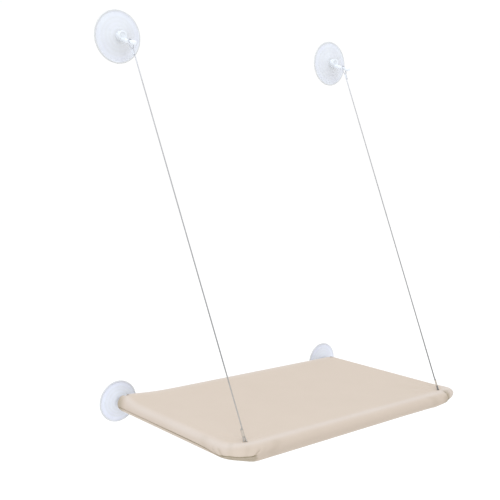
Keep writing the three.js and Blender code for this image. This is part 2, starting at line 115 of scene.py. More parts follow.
def make_studio():
    """White surroundings, a soft lamp and a pale floor well below the perch."""
    scene = bpy.context.scene
    scene.view_settings.view_transform = "Standard"
    world = bpy.data.worlds.new("white_studio")
    world.use_nodes = True
    background = world.node_tree.nodes["Background"].inputs
    background["Color"].default_value = (1, 1, 1, 1)
    background["Strength"].default_value = 1.02
    scene.world = world
    make_lamp()
    bpy.ops.mesh.primitive_plane_add(size=FLOOR_SIZE, location=(0, 0, FLOOR_Z))
    floor = bpy.context.object
    floor.name = "pale_floor"
    paint = Finish("pale_floor_paint")
    paint.set("Base Color", (0.86, 0.86, 0.86, 1))
    paint.set("Roughness", 0.9)
    paint.set("Emission Color", (1, 1, 1, 1))
    paint.set("Emission Strength", 0.16)
    floor.data.materials.append(paint.material)


# Finishes


class Tone:
    """A value in a finish. Arithmetic on it adds Math nodes."""

    def __init__(self, finish, socket):
        self.finish = finish
        self.socket = socket

    def __add__(self, other):
        return self.finish.math("ADD", self, other)

    def __radd__(self, other):
        return self.finish.math("ADD", other, self)

    def __sub__(self, other):
        return self.finish.math("SUBTRACT", self, other)

    def __rsub__(self, other):
        return self.finish.math("SUBTRACT", other, self)

    def __mul__(self, other):
        return self.finish.math("MULTIPLY", self, other)

    def __rmul__(self, other):
        return self.finish.math("MULTIPLY", other, self)


class Finish:
    """A material with the nodes that colour it and roughen it."""

    def __init__(self, name):
        self.material = bpy.data.materials.new(name)
        self.material.use_nodes = True
        self.tree = self.material.node_tree
        self.shader = self.tree.nodes["Principled BSDF"]

    def set(self, name, value):
        """Sets the shader's own socket, or links a value that varies over the surface to it."""
        socket = self.shader.inputs[name]
        if isinstance(value, Tone):
            self.tree.links.new(value.socket, socket)
        else:
            socket.default_value = value

    def node(self, kind, settings=None, sockets=None, output=0):
        """A node with its settings made first, then the values or links of its sockets."""
        node = self.tree.nodes.new(kind)
        for key, value in (settings or {}).items():
            if key == "stops":
                ramp = node.color_ramp
                while len(ramp.elements) < len(value):
                    ramp.elements.new(1)
                for element, (place, colour) in zip(ramp.elements, value):
                    element.position = place
                    element.color = colour
            else:
                setattr(node, key, value)
        for key, value in (sockets or {}).items():
            if isinstance(value, Tone):
                self.tree.links.new(value.socket, node.inputs[key])
            else:
                node.inputs[key].default_value = value
        return Tone(self, node.outputs[output])

    def math(self, operation, *values):
        return self.node("ShaderNodeMath", {"operation": operation}, dict(enumerate(values)))

    def blend(self, factor, first, second):
        """A colour between two, by a factor from 0 to 1."""
        first, second = (
            colour if isinstance(colour, Tone) else (*colour, 1) for colour in (first, second)
        )
        sockets = {0: factor, 6: first, 7: second}
        return self.node("ShaderNodeMix", {"data_type": "RGBA"}, sockets, output=2)

    def share(self, value, start, end):
        """How far a value has come from a start to an end, from 0 to 1."""
        sockets = {0: value, "From Min": start, "From Max": end}
        return self.node("ShaderNodeMapRange", {"clamp": True}, sockets)

    def attribute(self, name):
        return self.node("ShaderNodeAttribute", {"attribute_name": name}, output=2)

    def places(self, output="Object"):
        return self.node("ShaderNodeTexCoord", output=output)

    def axis(self, place, index):
        return self.node("ShaderNodeSeparateXYZ", sockets={"Vector": place}, output=index)

    def noise(self, place, scale, detail=2.0, roughness=0.5):
        sockets = {"Vector": place, "Scale": scale, "Detail": detail, "Roughness": roughness}
        return self.node("ShaderNodeTexNoise", sockets=sockets)

    def bump(self, height, distance, strength=1.0):
        sockets = {"Height": height, "Distance": distance, "Strength": strength}
        self.set("Normal", self.node("ShaderNodeBump", sockets=sockets))


def moulded_plastic(name, colour, shade, roughness, alpha=1.0):
    """Smooth moulded plastic with slight clouding and a fine surface grain."""
    finish = Finish(name)
    place = finish.places()
    finish.set("Base Color", finish.blend(finish.noise(place, 45, 3), shade, colour))
    finish.set("Roughness", roughness + 0.12 * finish.noise(place, 160, 2))
    finish.set("Alpha", alpha)
    finish.set("IOR", 1.46)
    finish.bump(finish.noise(place, 900, 2), 0.00002)
    return finish.material


# A cup's pale bands: the share of the way from its middle to its rim, and how much of the
# vinyl's own colour there is over the grey of the lip
CUP_BANDS = (
    (0.00, 0.42), (0.20, 0.30), (0.32, 0.46), (0.58, 0.52), (0.72, 0.60), (0.86, 0.86),
    (0.925, 0.70), (0.96, 0.0),
)


def milky_vinyl(name, clouded, clear):
    """Soft cloudy vinyl of a suction cup: a greyer lip, paler bands inside it, faint mottling."""
    finish = Finish(name)
    place = finish.places()
    body = finish.blend(finish.noise(place, 38, 3, 0.55), clouded, clear)
    wander = finish.attribute("reach") + 0.05 * (finish.noise(place, 16, 2) - 0.5)
    stops = [(reach, (tone, tone, tone, 1)) for reach, tone in CUP_BANDS]
    bands = finish.node("ShaderNodeValToRGB", {"stops": stops}, {"Fac": wander})
    rings = finish.math("SINE", wander * 42) * 0.5 + 0.5
    paler = bands * 0.85 + rings * 0.15
    finish.set("Base Color", finish.blend(paler, (0.66, 0.67, 0.67), body))
    finish.set("Roughness", 0.22 + 0.16 * finish.noise(place, 120, 2))
    finish.set("Alpha", 0.8)
    finish.set("IOR", 1.46)
    finish.bump(finish.noise(place, 240, 2), 0.00003)
    return finish.material


def worn_metal(name, colour, shade, roughness, scale, metallic=1.0):
    """Metal with fine scratches and duller patches."""
    finish = Finish(name)
    place = finish.places()
    patches = finish.noise(place, scale, 4, 0.6)
    finish.set("Base Color", finish.blend(patches, shade, colour))
    finish.set("Metallic", metallic)
    finish.set("Roughness", roughness + 0.18 * patches)
    finish.bump(finish.noise(place, scale * 12, 3), 0.00003)
    return finish.material


def drawn_wire(name, painted_low_tone):
    """Dull stranded wire with painted light: darker low down, brighter towards the hooks, and a
    painted tone near the cloth.
    """
    finish = Finish(name)
    place = finish.places()
    height = finish.axis(place, 2)
    # Painted light along the cable: dark at the bottom, paler upward, a painted tone by the cloth
    # and a pale bluish painted highlight on the loops at the hooks
    wire = finish.blend(finish.share(height, 0.02, 0.62), (0.235, 0.235, 0.235), (0.54, 0.53, 0.54))
    wire = finish.blend(finish.share(height, 0.13, 0.085), wire, painted_low_tone)
    wire = finish.blend(finish.share(height, 0.58, 0.63), wire, (0.66, 0.67, 0.71))
    grime = finish.noise(place, 420, 3, 0.6)
    finish.set("Base Color", finish.blend(grime * 0.35, wire, (0.10, 0.10, 0.10)))
    finish.set("Metallic", 0.45)
    finish.set("Roughness", 0.42 + 0.15 * grime)
    finish.bump(finish.noise(place, 5200, 2), 0.00002)
    return finish.material


def powder_coat(name, colour, shade):
    """Satin paint with the fine orange-peel of a powder coat."""
    finish = Finish(name)
    place = finish.places()
    finish.set("Base Color", finish.blend(finish.noise(place, 30, 3), shade, colour))
    finish.set("Roughness", 0.38 + 0.14 * finish.noise(place, 260, 2))
    finish.bump(finish.noise(place, 1300, 2), 0.00005)
    return finish.material


THREAD_SPACING = 0.0008
# Dark tone of the painted shade in folds, corners, underneath and round the slits, which also
# darkens the partly real seam lines
SEAM_AND_PAINTED_SHADE_TONE = (0.21, 0.175, 0.09)
# Paler tone of the painted highlight along the rolls' crests and on the right front ear
PAINTED_HIGHLIGHT_TONE = (0.60, 0.54, 0.50)


def woven_fabric(name, colour, shade, mapped="Object"):
    """Satin cloth with a fine weave, a painted highlight along the crests of the rolls, and painted
    shade in folds, in corners and underneath, which also darkens the partly real seam lines.
    """
    finish = Finish(name)
    cloth = finish.places(mapped)
    threads = 2 * math.pi / THREAD_SPACING
    across, along = (finish.math("SINE", finish.axis(cloth, axis) * threads) for axis in (0, 1))
    weave = across * along
    mottle = finish.noise(cloth, 11, 4, 0.55)
    slub = finish.noise(cloth, 320, 3, 0.6)
    tone = 0.76 * mottle + 0.18 * slub + 0.05 * weave
    # Painted highlight, blended from its point attribute toward the paler tone
    highlight_mask = finish.attribute("wear") * (0.35 + 0.3 * mottle)
    woven = finish.blend(highlight_mask, finish.blend(tone, shade, colour), PAINTED_HIGHLIGHT_TONE)
    # Painted shade from the shade attribute, together with the partly real dark seam lines
    finish.set("Base Color", finish.blend(finish.attribute("shade"), woven, SEAM_AND_PAINTED_SHADE_TONE))
    finish.set("Roughness", 0.58 + 0.14 * slub)
    finish.set("Sheen Weight", 0.08)
    finish.set("Sheen Roughness", 0.4)
    finish.set("Specular IOR Level", 0.3)
    finish.bump(weave + 1.5 * slub, 0.000015, 0.5)
    return finish.material


# Shapes


def add_piece(name, bm, material, body=None):
    """Makes a smooth piece of one material from a bmesh, riding on a body if one is given."""
    mesh = bpy.data.meshes.new(name)
    bm.to_mesh(mesh)
    bm.free()
    for polygon in mesh.polygons:
        polygon.use_smooth = True
    mesh.materials.append(material)
    piece = add_object(name, mesh)
    if body:
        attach(piece, body)
    return piece


def sharp_edges(mesh, degrees):
    """Marks the edges of a mesh that turn more than an angle, so that they stay crisp."""
    bm = bmesh.new()
    bm.from_mesh(mesh)
    limit = math.radians(degrees)
    for edge in bm.edges:
        edge.smooth = len(edge.link_faces) != 2 or edge.calc_face_angle() < limit
    bm.to_mesh(mesh)
    bm.free()


def turned(bm, profile, steps, place=(0, 0, 0)):
    """Spins a profile of (radius, y) round the Y axis into a closed skin, moved to its place."""
    verts = [bm.verts.new((radius, y, 0)) for radius, y in profile]
    edges = [bm.edges.new(pair) for pair in zip(verts, verts[1:])]
    bmesh.ops.spin(
        bm, geom=verts + edges, axis=(0, 1, 0), angle=2 * math.pi, steps=steps, use_merge=True
    )
    bmesh.ops.remove_doubles(bm, verts=bm.verts, dist=1e-6)
    bmesh.ops.recalc_face_normals(bm, faces=bm.faces)
    bmesh.ops.translate(bm, verts=bm.verts, vec=place)


def extruded(bm, edges):
    """Grows new edges out of some edges and returns the new points and edges."""
    grown = bmesh.ops.extrude_edge_only(bm, edges=edges)["geom"]
    verts = [item for item in grown if isinstance(item, bmesh.types.BMVert)]
    return verts, [item for item in grown if isinstance(item, bmesh.types.BMEdge)]


def evaluated_mesh(thing):
    """The mesh that a curve or an object with modifiers comes to."""
    graph = bpy.context.evaluated_depsgraph_get()
    return bpy.data.meshes.new_from_object(thing.evaluated_get(graph))


def smooth_route(points, spacing):
    """Evenly spaced points on a smooth curve through the given points."""
    points = [Vector(point) for point in points]
    padded = [2 * points[0] - points[1], *points, 2 * points[-1] - points[-2]]
    dense = []
    for p0, p1, p2, p3 in zip(padded, padded[1:], padded[2:], padded[3:]):
        t1 = math.sqrt((p1 - p0).length)
        t2 = t1 + math.sqrt((p2 - p1).length)
        t3 = t2 + math.sqrt((p3 - p2).length)
        steps = max(4, round((p2 - p1).length / spacing * 2))
        for step in range(steps):
            t = t1 + (t2 - t1) * step / steps
            a1 = p0.lerp(p1, t / t1)
            a2 = p1.lerp(p2, (t - t1) / (t2 - t1))
            a3 = p2.lerp(p3, (t - t2) / (t3 - t2))
            b1 = a1.lerp(a2, t / t2)
            b2 = a2.lerp(a3, (t - t1) / (t3 - t1))
            dense.append(b1.lerp(b2, (t - t1) / (t2 - t1)))
    dense.append(points[-1])
    length = sum((b - a).length for a, b in zip(dense, dense[1:]))
    count = max(2, round(length / spacing))
    even = [dense[0]]
    walked = 0
    wanted = length / count
    for a, b in zip(dense, dense[1:]):
        span = (b - a).length
        while span > 0 and walked + span >= wanted * len(even) and len(even) < count:
            even.append(a.lerp(b, (wanted * len(even) - walked) / span))
        walked += span
    even.append(dense[-1])
    return even, length


# The cables and the crimp sleeves on them

PEG_ROOT = Vector((0, -19.9, -7.2)) * MM
PEG_TIP = Vector((0, -61, -17.3)) * MM
PEG_DIRECTION = (PEG_TIP - PEG_ROOT).normalized()
PEG_LENGTH = (PEG_TIP - PEG_ROOT).length
PEG_HEAD_LENGTH = 0.013
PEG_WAIST_LENGTH = 0.009
WAIST_MIDDLE = PEG_LENGTH - PEG_HEAD_LENGTH - PEG_WAIST_LENGTH / 2
ANCHOR_ANGLE = math.radians(67.5)

# The loop at the anchor pin, as places beside and along the cable, in millimetres
ANCHOR_LOOP = (
    (-1.15, 36), (-1.15, 30), (-1.15, 23.5), (-1.9, 17), (-3, 8), (-3.35, 2),
    (-2.9, -1.7), (-1.6, -2.95), (0, -3.35), (1.6, -2.95), (2.9, -1.7), (3.35, 2),
    (3, 8), (1.9, 17), (1.15, 23.5), (1.15, 30), (1.15, 37), (1.15, 80),
)

# The loop over the hook's waist, from the straight run to the tail in the upper sleeve
HOOK_LOOP = (
    (1.15, 80), (1.15, 29.5), (1.15, 22), (1.15, 14.8), (2.7, 11.2), (4.2, 7),
    (4.3, 0.5), (3.5, -3.3), (1.9, -4.9), (0, -5.3), (-1.9, -4.9), (-3.5, -3.3),
    (-4.3, 0.5), (-4.2, 7), (-2.7, 11.2), (-1.15, 14.8), (-1.15, 22), (-1.15, 27),
)

STRANDED_RADIUS = 0.00108
STRANDS = 6
STRAND_PITCH = 0.015
POINTS_PER_STRAND = 4
ROUTE_SPACING = 0.0007

# The crimp sleeves: where they start along the cable, the round of each half and how far it lies
# to the side, the wall, and the steps along the sleeve with how flat each is pressed
LOWER_SLEEVE_START = 0.023
UPPER_SLEEVE_START = 0.015
SLEEVE_ROUND = 0.0014
SLEEVE_SPREAD = 0.00105
SLEEVE_WALL = 0.00035
SLEEVE_WAIST = ((0.0007, 0.86), (0.0009, 0.82), (0.0007, 0.86))
SLEEVE_STEPS = (
    (0.0004, 1.0), (0.0013, 1.0), *SLEEVE_WAIST, (0.0012, 1.0),
    (0.0012, 1.0), *SLEEVE_WAIST, (0.0013, 1.0), (0.0004, 1.0),
)


def anchor_point(side):
    x = SIDE_TUBE_X - BEND_RADIUS + BEND_RADIUS * math.cos(ANCHOR_ANGLE)
    y = FRONT_Y + BEND_RADIUS - BEND_RADIUS * math.sin(ANCHOR_ANGLE)
    return Vector((side * x, y, 0))


def hook_point(side):
    return Vector((side * SIDE_TUBE_X, 0, UPPER_CUP_Z)) + PEG_ROOT + WAIST_MIDDLE * PEG_DIRECTION


def square_to(direction, along):
    return (direction - direction.dot(along) * along).normalized()


def anchor_frame(side):
    """Where a cable's lower loop sits: its origin, the way along the cable, and beside it."""
    along = (hook_point(side) - anchor_point(side)).normalized()
    tangent = Vector((-side * math.sin(ANCHOR_ANGLE), -math.cos(ANCHOR_ANGLE), 0))
    return anchor_point(side), along, square_to(tangent, along)


def hook_frame(side):
    along = (anchor_point(side) - hook_point(side)).normalized()
    return hook_point(side), along, square_to(Vector((-side, 0, 0)), along)


def place_along(loop_frame, distance):
    """A place on a cable's axis, turned along its two strands."""
    origin, along, beside = loop_frame
    turn = Matrix((beside, along.cross(beside), along)).transposed().to_4x4()
    return Matrix.Translation(origin + distance * along) @ turn


def cable_route(side):
    route = []
    loops = ((anchor_frame(side), ANCHOR_LOOP), (hook_frame(side), HOOK_LOOP))
    for (origin, along, beside), loop in loops:
        route += [origin + b * MM * beside + a * MM * along for b, a in loop]
    return smooth_route(route, ROUTE_SPACING)


def strand_outline():
    """The cross-section of a stranded cable, as a closed flat curve."""
    outline = bpy.data.curves.new("strand_outline", "CURVE")
    outline.dimensions = "2D"
    spline = outline.splines.new("POLY")
    count = STRANDS * POINTS_PER_STRAND
    spline.points.add(count - 1)
    for index in range(count):
        angle = 2 * math.pi * index / count
        lobe = abs(math.cos(math.pi * index / POINTS_PER_STRAND))
        radius = STRANDED_RADIUS * (0.84 + 0.16 * lobe)
        spline.points[index].co = (radius * math.cos(angle), radius * math.sin(angle), 0, 1)
    spline.use_cyclic_u = True
    return bpy.data.objects.new("strand_outline", outline)


def twisted_strands(route, length, outline):
    """The skin of a cable: its cross-section swept and twisted along its route."""
    curve = bpy.data.curves.new("cable_curve", "CURVE")
    curve.dimensions = "3D"
    curve.twist_mode = "MINIMUM"
    curve.bevel_mode = "OBJECT"
    curve.bevel_object = outline
    curve.use_fill_caps = True
    spline = curve.splines.new("POLY")
    spline.points.add(len(route) - 1)
    twist = 2 * math.pi * length / len(route) / STRAND_PITCH
    for index, place in enumerate(route):
        spline.points[index].co = (*place, 1)
        spline.points[index].tilt = index * twist
    swept = add_object("cable_curve", curve)
    bpy.context.view_layer.update()
    bm = bmesh.new()
    bm.from_mesh(evaluated_mesh(swept))
    bpy.data.objects.remove(swept)
    bmesh.ops.remove_doubles(bm, verts=bm.verts, dist=1e-7)
    bmesh.ops.recalc_face_normals(bm, faces=bm.faces)
    return bm


def make_cable(side_name, side, outline, material):
    route, length = cable_route(side)
    skin = twisted_strands(route, length, outline)
    cable = add_piece(f"stranded_cable_{side_name}", skin, material)
    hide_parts(f"cable_{side_name}")
    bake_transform(cable)


def make_sleeve(name, place, material, body):
    """An oval crimp sleeve round two strands, with two pressed waists."""
    bm = bmesh.new()
    bmesh.ops.create_circle(bm, cap_ends=False, segments=36, radius=SLEEVE_ROUND)
    for vert in bm.verts:
        if abs(vert.co.x) > 1e-6:
            vert.co.x += math.copysign(SLEEVE_SPREAD, vert.co.x)
    edges = list(bm.edges)
    flat = 1.0
    for distance, wanted in SLEEVE_STEPS:
        verts, edges = extruded(bm, edges)
        bmesh.ops.translate(bm, verts=verts, vec=(0, 0, distance))
        bmesh.ops.scale(bm, verts=verts, vec=(1 + (flat - wanted) * 0.3, wanted / flat, 1))
        flat = wanted
    bmesh.ops.recalc_face_normals(bm, faces=bm.faces)
    bmesh.ops.solidify(bm, geom=bm.faces[:], thickness=SLEEVE_WALL)
    bmesh.ops.recalc_face_normals(bm, faces=bm.faces)
    bmesh.ops.transform(bm, matrix=place, verts=bm.verts)
    sleeve = add_piece(f"pressed_{name}", bm, material, body)
    sharp_edges(sleeve.data, 50)
    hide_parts(name)


# The suction cups and the hooks

# A cup's outline in pairs, in millimetres but for the shares. The dish: share of the radius and
# y. The rim: how far inward and y. The flank: shares of the way in and up to the shoulder. The
# knob and the neck: radius and distance from the shoulder.
CUP_DISH = ((0, -1.6), (0.5, -1.6), (0.58, -1.3), (0.66, -0.6), (0.72, 0))
CUP_RIM = (
    (0.5, 0), (0.1, -0.3), (0, -0.8), (0.2, -1.3), (0.8, -1.7), (1.8, -1.9), (2.8, -1.7),
    (3.5, -1.3), (4.3, -1.2),
)
CUP_FLANK = (
    (0.0, 0.0), (0.07, 0.035), (0.14, 0.08), (0.24, 0.14), (0.34, 0.22), (0.44, 0.31),
    (0.54, 0.42), (0.65, 0.56), (0.76, 0.72), (0.85, 0.85), (0.92, 0.93), (0.97, 0.98),
)
FLANK_INWARD = 0.0052
KNOB = (
    (8.9, 0.1), (7.9, 0.2), (4.8, 0.3), (4.4, 0.8), (4.2, 4.2), (4.6, 4.9), (5.8, 5.1),
    (6.2, 5.6), (6.2, 6.8), (5.6, 7.5), (0, 7.6),
)
NECK = ((8.9, 0.1), (7.5, 0.2), (4.8, 0.4), (3.7, 1.0), (3.2, 2.0))
NECK_RADIUS = 0.0032
BALL_RADIUS = 0.006
BALL_STEPS = 14


def cup_profile(radius):
    """A cup from the middle of its dish, round its rim and up its flank to the shoulder."""
    profile = [(radius * share, y * MM) for share, y in CUP_DISH]
    profile += [(radius - inward * MM, y * MM) for inward, y in CUP_RIM]
    start = radius - FLANK_INWARD
    for inward, rise in CUP_FLANK:
        edge = start + (SHOULDER_RADIUS - start) * inward
        y = -RIM_THICKNESS + (SHOULDER_Y + RIM_THICKNESS) * rise
        profile.append((edge, y))
    return profile


def past_shoulder(outline):
    """A knob or a neck, from its radius at each distance from the cup's shoulder."""
    return [(radius * MM, SHOULDER_Y - away * MM) for radius, away in outline]


def ball_profile():
    """The neck of a lower cup and the ball at its end."""
    profile = past_shoulder(NECK)
    first = math.asin(NECK_RADIUS / BALL_RADIUS)
    for step in range(BALL_STEPS):
        angle = first + (math.pi - first) * step / BALL_STEPS
        profile.append((BALL_RADIUS * math.sin(angle), REAR_Y + BALL_RADIUS * math.cos(angle)))
    return [*profile, (0, REAR_Y - BALL_RADIUS)]


def make_cups(materials):
    for side_name, side in SIDES:
        for level, radius, height, end in (
            ("lower", LOWER_CUP_RADIUS, 0, ball_profile()),
            ("upper", UPPER_CUP_RADIUS, UPPER_CUP_Z, past_shoulder(KNOB)),
        ):
            bm = bmesh.new()
            reach = bm.verts.layers.float.new("reach")
            middle = Vector((side * SIDE_TUBE_X, 0, height))
            turned(bm, cup_profile(radius) + end, 96, middle)
            for vert in bm.verts:
                away = vert.co - middle
                vert[reach] = math.hypot(away.x, away.z) / radius
            name = f"{level}_cup_{side_name}"
            cup = add_piece(f"moulded_{name}", bm, materials[level], "glass_side")
            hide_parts(name)
            sharp_edges(cup.data, 40)


def cap_profile():
    """The hook's round cap, from its hollow for the knob's head round to its dished face."""
    back = SHOULDER_Y - 0.0003
    front = -0.0199
    return [
        (0, -0.0169), (0.0065, -0.0169), (0.0065, -0.0137), (0.0047, -0.0135), (0.0047, back),
        (0.0084, back), (0.0090, back - 0.0006), (0.0090, front + 0.0012),
        (0.0086, front + 0.0004), (0.0079, front), (0.0062, front), (0.0056, front + 0.0003),
        (0.0050, front + 0.0009), (0.0044, front + 0.0010), (0, front + 0.0010),
    ]


def peg_profile():
    """The hook's peg from its root in the cap, by its waist, to the end of its head."""
    root, waist, head = 0.0038, 0.0028, 0.0043
    head_start = PEG_LENGTH - PEG_HEAD_LENGTH
    waist_start = head_start - PEG_WAIST_LENGTH
    return [
        (0, -0.0025), (root, -0.0025), (root, 0.0), (root, waist_start * 0.55),
        (root - 0.0003, waist_start * 0.75), (waist + 0.0002, waist_start * 0.95),
        (waist, waist_start + 0.001), (waist, head_start - 0.0014),
        (waist + 0.0003, head_start - 0.0006), (head - 0.0003, head_start + 0.0006),
        (head, head_start + 0.0016), (head, PEG_LENGTH - 0.0035),
        (head - 0.0006, PEG_LENGTH - 0.0014), (head - 0.0018, PEG_LENGTH - 0.0003),
        (0, PEG_LENGTH),
    ]


def make_hooks(material):
    for side_name, side in SIDES:
        bm = bmesh.new()
        turned(bm, cap_profile(), 64)
        cap = add_piece(f"clear_hook_{side_name}", bm, material)
        bm = bmesh.new()
        turned(bm, peg_profile(), 40)
        turn = Vector((0, 1, 0)).rotation_difference(PEG_DIRECTION).to_matrix().to_4x4()
        bmesh.ops.transform(bm, matrix=Matrix.Translation(PEG_ROOT) @ turn, verts=bm.verts)
        peg = add_piece("peg", bm, material)
        union = cap.modifiers.new("peg", "BOOLEAN")
        union.operation = "UNION"
        union.solver = "EXACT"
        union.object = peg
        joined = evaluated_mesh(cap)
        cap.modifiers.clear()
        cap.data = joined
        bpy.data.objects.remove(peg)
        joined.transform(Matrix.Translation((side * SIDE_TUBE_X, 0, UPPER_CUP_Z)))
        for polygon in joined.polygons:
            polygon.use_smooth = True
        sharp_edges(joined, 40)
        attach(cap, "glass_side")
        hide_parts(f"hook_{side_name}")


# The fabric cover

# Sizes of the cloth and how far it gives, swells and folds, with the seam's angle on the roll
SEAM_ANGLE = -15.0
FABRIC = 0.0012
TOP_SAG = 0.005
BOTTOM_SAG = 0.003
SEAM_SINK = 0.0013
# Painted shade on the underside and the lower faces of the rolls
UNDERSIDE_SHADE = 0.07
EAR_FOLD_X = 0.2475
EAR_FOLD_DEPTH = 0.0022
EAR_HEIGHT = 0.0045
CORNER_LIFT = 0.003
FRONT_SLACK = 0.0043
REAR_FULLNESS = 0.0057

# The closure under the rear edge, the cables' slits and the notches for the cups' necks
CLOSURE_HALF = 0.2325
HEM_Y = -0.042
HEM_ROWS = (-0.0436, -0.0575)
FLAP_FOLD_Y = -0.038
FLAP_Z = -0.0090
FLAP_LENGTH = 0.026
SLIT_SIZE = (0.0068, 0.0025, 0.014)
SLIT_ALONG_CABLE = 0.0148
SLIT_BORDER = 0.0012
# Painted shade at the edges of the cables' slits, stronger on the right
SLIT_SHADES = {-1: 0.15, 1: 0.6}
NOTCH_SIZE = (0.009, 0.0338, 0.0354)
NOTCH_Y = REAR_Y + 0.0131
NOTCH_Z = 0.0123

# The stitches
THREAD = 0.0005
HEM_STITCH = 0.0026
HEM_GAP = 0.0009
HEM_END_STITCHES = 14
HEM_END_SPACING = 0.0006
SLIT_STITCH = 0.0013
SLIT_STITCH_SPACING = 0.0007

# How far the underside's pattern lies from the top's on the flat cloth
UNDERSIDE_PATTERN = 0.8

# The frame's corners seen from above, from the right rear one round by the left: the side,
# whether it is a front one, its steps, and the steps of the edge that follows, with how these
# crowd together at its start and its end
CORNERS = (
    (1, False, 12, 118, 0, 0),
    (-1, False, 12, 60, 0, 0.55),
    (-1, True, 40, 90, 0.6, 0.6),
    (1, True, 40, 60, 0.55, 0),
)


def smooth_step(value):
    value = min(max(value, 0.0), 1.0)
    return value * value * (3 - 2 * value)


def hump(away):
    """1 in the middle, and smoothly down to almost 0 two widths away."""
    return math.exp(-away * away)


def window(value, start, rise, end, fall):
    """1 between a start and an end, 0 outside, with a soft rise and fall inside them."""
    return smooth_step((value - start) / rise) * smooth_step((end - value) / fall)


def crowded(share, at_start, at_end):
    """A share of the way along an edge, with the steps crowded at its start, its end or both."""
    if at_start and at_end:
        return share - at_start * math.sin(2 * math.pi * share) / (2 * math.pi)
    return share + (at_end - at_start) * (share - share * share)


def make_stations():
    """Places round the frame: the corner, the share of its turn and of the edge after it."""
    stations = []
    for corner, (_, _, turn_steps, edge_steps, at_start, at_end) in enumerate(CORNERS):
        stations += [(corner, step / turn_steps, 0) for step in range(turn_steps + 1)]
        for step in range(1, edge_steps):
            stations.append((corner, 1, crowded(step / edge_steps, at_start, at_end)))
    return stations


STATIONS = make_stations()


def corner_place(corner, turn, outward, left, right):
    """A place on a corner of the frame's outline grown outward, with the front corners' radii."""
    side, is_front = CORNERS[corner][:2]
    angle = (corner + turn) * math.pi / 2
    if is_front:
        radius = left if side < 0 else right
        y = FRONT_Y - outward + radius
    else:
        radius = 0.001 + 0.5 * max(outward, 0)
        y = REAR_Y + outward - radius
    x = side * (SIDE_TUBE_X + outward - radius)
    return Vector((x + radius * math.cos(angle), y + radius * math.sin(angle)))


def outline_place(index, outward, left, right):
    corner, turn, along = STATIONS[index]
    place = corner_place(corner, turn, outward, left, right)
    if along:
        place = place.lerp(corner_place((corner + 1) % 4, 0, outward, left, right), along)
    return place


AXIS_OUTLINE = [
    outline_place(index, 0, BEND_RADIUS, BEND_RADIUS) for index in range(len(STATIONS))
]


def distances_from(middle):
    """How far each place of the outline is from a corner's middle, in mm along the tubes."""
    count = len(AXIS_OUTLINE)
    distances = [0.0] * count
    for way in (-1, 1):
        walked = 0.0
        for step in range(1, count // 2):
            here = (middle + way * step) % count
            before = (middle + way * (step - 1)) % count
            walked += (AXIS_OUTLINE[here] - AXIS_OUTLINE[before]).length
            distances[here] = way * walked / MM
    return distances


RIGHT_REAR, LEFT_REAR, LEFT_FRONT, RIGHT_FRONT = (
    STATIONS.index((corner, 0.5, 0)) for corner in range(4)
)
CORNER_DISTANCES = {-1: distances_from(LEFT_FRONT), 1: distances_from(RIGHT_FRONT)}

# Small folds where the square-sewn cloth is drawn round the front corners: the side, the place
# along the outline, the width and the height in millimetres, and the roll angles it fades at
PLEATS = (
    (-1, 29, 1.8, -1.1, -42, 8), (-1, 24, 3.0, 0.5, -40, 25), (-1, 35, 3.5, 0.6, -50, 35),
    (-1, 13, 4.0, -0.3, -20, 50), (-1, 3, 5.0, 0.3, -30, 65), (-1, -9, 4.0, -0.35, -30, 75),
    (-1, -17, 2.5, 0.35, -35, 35), (-1, -24, 1.8, -0.8, -30, 10), (-1, -29, 2.2, 0.5, -28, 20),
    (-1, -36, 1.8, -0.5, -32, 2), (-1, -62, 10.0, -0.35, -30, 60), (-1, 62, 9.0, -0.4, -60, 50),
    (1, -43, 6.0, 0.7, -75, 50), (1, -24, 3.0, 0.5, -60, 45),
    (1, -12, 4.0, -0.4, -10, 70), (1, 2, 5.0, 0.4, -30, 75), (1, 15, 4.0, -0.4, -40, 60),
    (1, 27, 3.5, 0.4, -40, 40), (1, -72, 9.0, -0.4, -60, 50), (1, 60, 9.0, -0.3, -40, 60),
)


def pleat_height(index, angle):
    """How far small folds lift the cloth at a place of the outline and an angle of the roll."""
    lift = 0.0
    for side, distance, width, height, low, high in PLEATS:
        away = (CORNER_DISTANCES[side][index] - distance) / width
        if abs(away) < 3:
            rise = window(angle, low - 16, 16, high + 16, 16)
            lift += height * MM * hump(away) * rise
    return lift


def seam_angle(index):
    """Where the side seams run on the roll: lowest where the left front corner begins to turn."""
    place = AXIS_OUTLINE[index]
    if place.x < 0:
        past = CORNER_DISTANCES[-1][index] + 34
        return SEAM_ANGLE - 17 * hump(past / (30 if past < 0 else 13))
    forward = smooth_step((-0.20 - place.y) / 0.11) * smooth_step((place.x - 0.17) / 0.06)
    return SEAM_ANGLE + 29 * forward


def corner_radius(side, natural, angle, seam):
    """The radius of a front corner of the cloth: the sewn corners reach out squarer."""
    if side < 0:
        near_seam = max(0.0, 1 - abs(angle - seam) / 40) ** 1.3
        low = window(angle, -90, 20, -20, 30)
        return natural + (0.040 - natural) * max(near_seam, 0.65 * low)
    squared = natural + (0.031 - natural) * window(angle, -58, 45, 80, 45)
    return squared - 0.003 * max(0.0, 1 - abs(angle - seam) / 24) ** 1.3


def ear_share(index, x, angle):
    """1 on the spare cloth that stands out at the right front corner, past its fold."""
    past = CORNER_DISTANCES[1][index]
    across = smooth_step((x - EAR_FOLD_X + 0.002) / 0.007) * (1 - smooth_step((past - 10) / 30))
    return across * window(angle, -60, 45, 85, 45)


def ear_fold(index, x, angle):
    """How far the cloth is drawn in by the fold beside that ear."""
    past = CORNER_DISTANCES[1][index]
    if past > 3:
        return 0.0
    away = (x - EAR_FOLD_X) / 0.0028
    return EAR_FOLD_DEPTH * hump(away) * window(angle, -72, 25, 86, 30)


